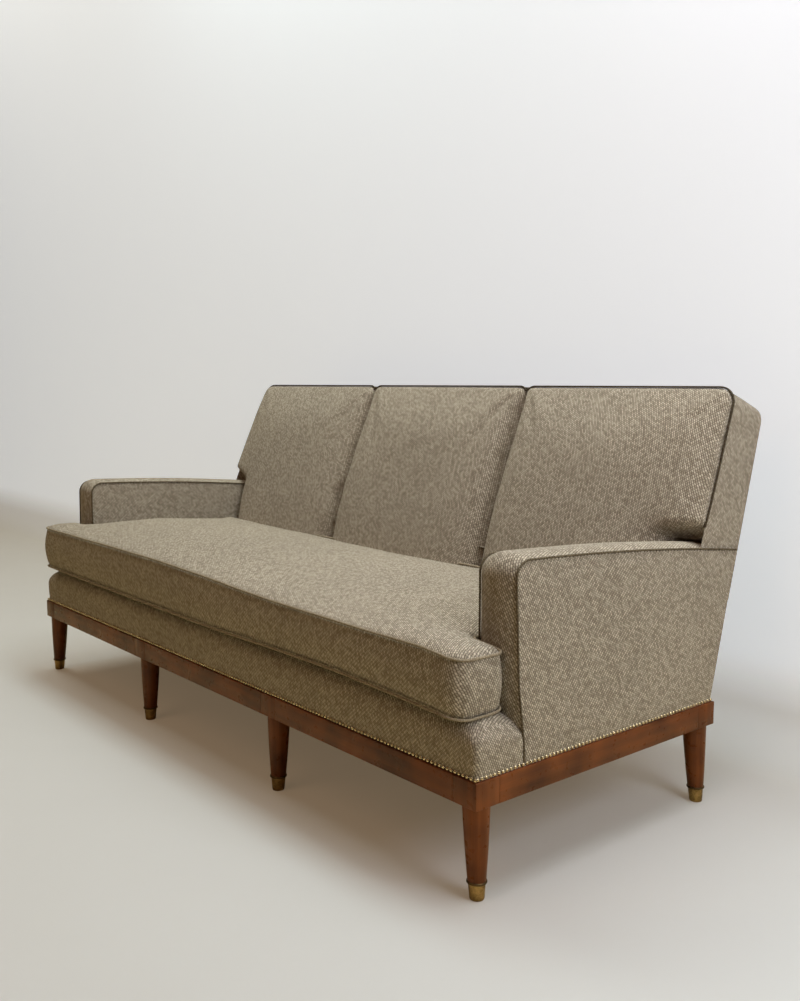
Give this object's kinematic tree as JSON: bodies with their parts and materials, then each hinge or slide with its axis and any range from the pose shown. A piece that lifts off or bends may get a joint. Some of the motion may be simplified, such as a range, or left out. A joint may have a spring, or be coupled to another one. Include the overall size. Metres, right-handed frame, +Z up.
{
  "type": "three seater sofa",
  "caption": "Upholstered sofa with a raked channelled back, low arms and a loose T-shaped seat cushion on a polished wooden plinth with tapered brass-shod legs",
  "frame": {"origin": "on the floor, under the middle of the whole sofa's box", "axes": "+X along the seat towards the sitter's left hand side, that is the right arm seen from in front; +Y from the front of the seat to the back; +Z up"},
  "size_m": [2, 0.9678, 0.9248],
  "materials": {
    "tweed": "matt woven tweed in brown and beige",
    "piping": "dark fabric over cord",
    "polished_wood": "satin red-brown polish",
    "frame_wood": "plain sawn hardwood",
    "brass": "antique satin",
    "steel": "zinc plated",
    "webbing": "woven jute",
    "dust_cloth": "thin black cloth"
  },
  "bodies": {
    "frame": {"arm_band_left": "tweed", "arm_band_right": "tweed", "arm_core_left": "tweed", "arm_core_right": "tweed", "arm_piping_left": "piping", "arm_piping_right": "piping", "arm_post_left": "frame_wood", "arm_post_right": "frame_wood", "arm_rail_left": "frame_wood", "arm_rail_right": "frame_wood", "back_core": "tweed", "back_pad_left": "tweed", "back_pad_middle": "tweed", "back_pad_right": "tweed", "back_piping": "piping", "back_post_left": "frame_wood", "back_post_mid_left": "frame_wood", "back_post_mid_right": "frame_wood", "back_post_right": "frame_wood", "back_rail_top": "frame_wood", "back_rails_lower": "frame_wood", "back_webbing": "webbing", "cross_rail_left": "frame_wood", "cross_rail_right": "frame_wood", "deck_pad": "tweed", "dust_cover": "dust_cloth", "ferrules_front": "brass", "ferrules_rear": "brass", "front_border": "tweed", "front_rail_left": "polished_wood", "front_rail_middle": "polished_wood", "front_rail_right": "polished_wood", "leg_front_left": "polished_wood", "leg_front_mid_left": "polished_wood", "leg_front_mid_right": "polished_wood", "leg_front_right": "polished_wood", "leg_rear_left": "polished_wood", "leg_rear_mid_left": "polished_wood", "leg_rear_mid_right": "polished_wood", "leg_rear_right": "polished_wood", "nailhead_trim": "brass", "outside_arm_left": "tweed", "outside_arm_right": "tweed", "outside_back": "tweed", "plinth_screws": "steel", "rear_rail_left": "polished_wood", "rear_rail_middle": "polished_wood", "rear_rail_right": "polished_wood", "seat_rail_front": "frame_wood", "seat_rail_left": "frame_wood", "seat_rail_rear": "frame_wood", "seat_rail_right": "frame_wood", "seat_stretcher_left": "frame_wood", "seat_stretcher_right": "frame_wood", "seat_webbing": "webbing", "side_rail_left": "polished_wood", "side_rail_right": "polished_wood"},
    "seat_cushion": {"seat_cushion": "tweed", "cushion_piping_upper": "piping", "cushion_piping_lower": "piping"}
  },
  "joints": [
    {"name": "seat_cushion_lift", "type": "slide", "parent": "frame", "child": "seat_cushion", "axis": [0, 0, 1], "range_m": [0, 0.6]}
  ]
}
